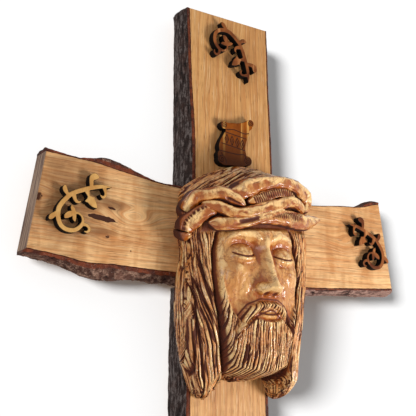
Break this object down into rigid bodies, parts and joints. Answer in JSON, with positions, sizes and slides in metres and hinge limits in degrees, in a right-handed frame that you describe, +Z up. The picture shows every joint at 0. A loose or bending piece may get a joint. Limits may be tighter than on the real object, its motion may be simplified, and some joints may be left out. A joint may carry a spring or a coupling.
{
  "type": "wall crucifix",
  "caption": "Wall cross of two live-edge boards, half-lapped, with a carved bearded head in relief, a scroll plaque and scroll-sawn ornaments; hangs by a recessed keyhole plate.",
  "frame": {"origin": "on the back face of the upright, where the centre lines of the two boards meet", "axes": "+Z up along the upright, +Y out of the back towards the wall, +X to the viewer's right"},
  "size_m": [0.501, 0.1157, 0.69],
  "materials": {
    "board_wood": "satin varnish",
    "bark": "rough",
    "dowel_wood": "raw",
    "carved_wood": "gloss, brown in the grooves",
    "scroll_wood": "satin varnish",
    "pale_ornament_wood": "matt, charred sides",
    "red_ornament_wood": "matt, charred sides",
    "screw_steel": "zinc plated",
    "hanger_brass": "plated"
  },
  "bodies": {
    "cross": {"upright_board": "board_wood", "cross_board": "board_wood", "bark_upright_left_upper": "bark", "bark_upright_left_lower": "bark", "bark_upright_right_upper": "bark", "bark_upright_right_lower": "bark", "bark_left_arm_top": "bark", "bark_left_arm_bottom": "bark", "bark_right_arm_top": "bark", "bark_right_arm_bottom": "bark", "lap_dowels": "dowel_wood", "head_carving": "carved_wood", "head_screws": "screw_steel", "title_scroll": "scroll_wood", "ornament_left": "pale_ornament_wood", "ornament_right": "red_ornament_wood", "ornament_top": "red_ornament_wood", "ornament_foot": "red_ornament_wood", "hanger_plate": "hanger_brass", "hanger_screws": "hanger_brass"}
  },
  "joints": []
}
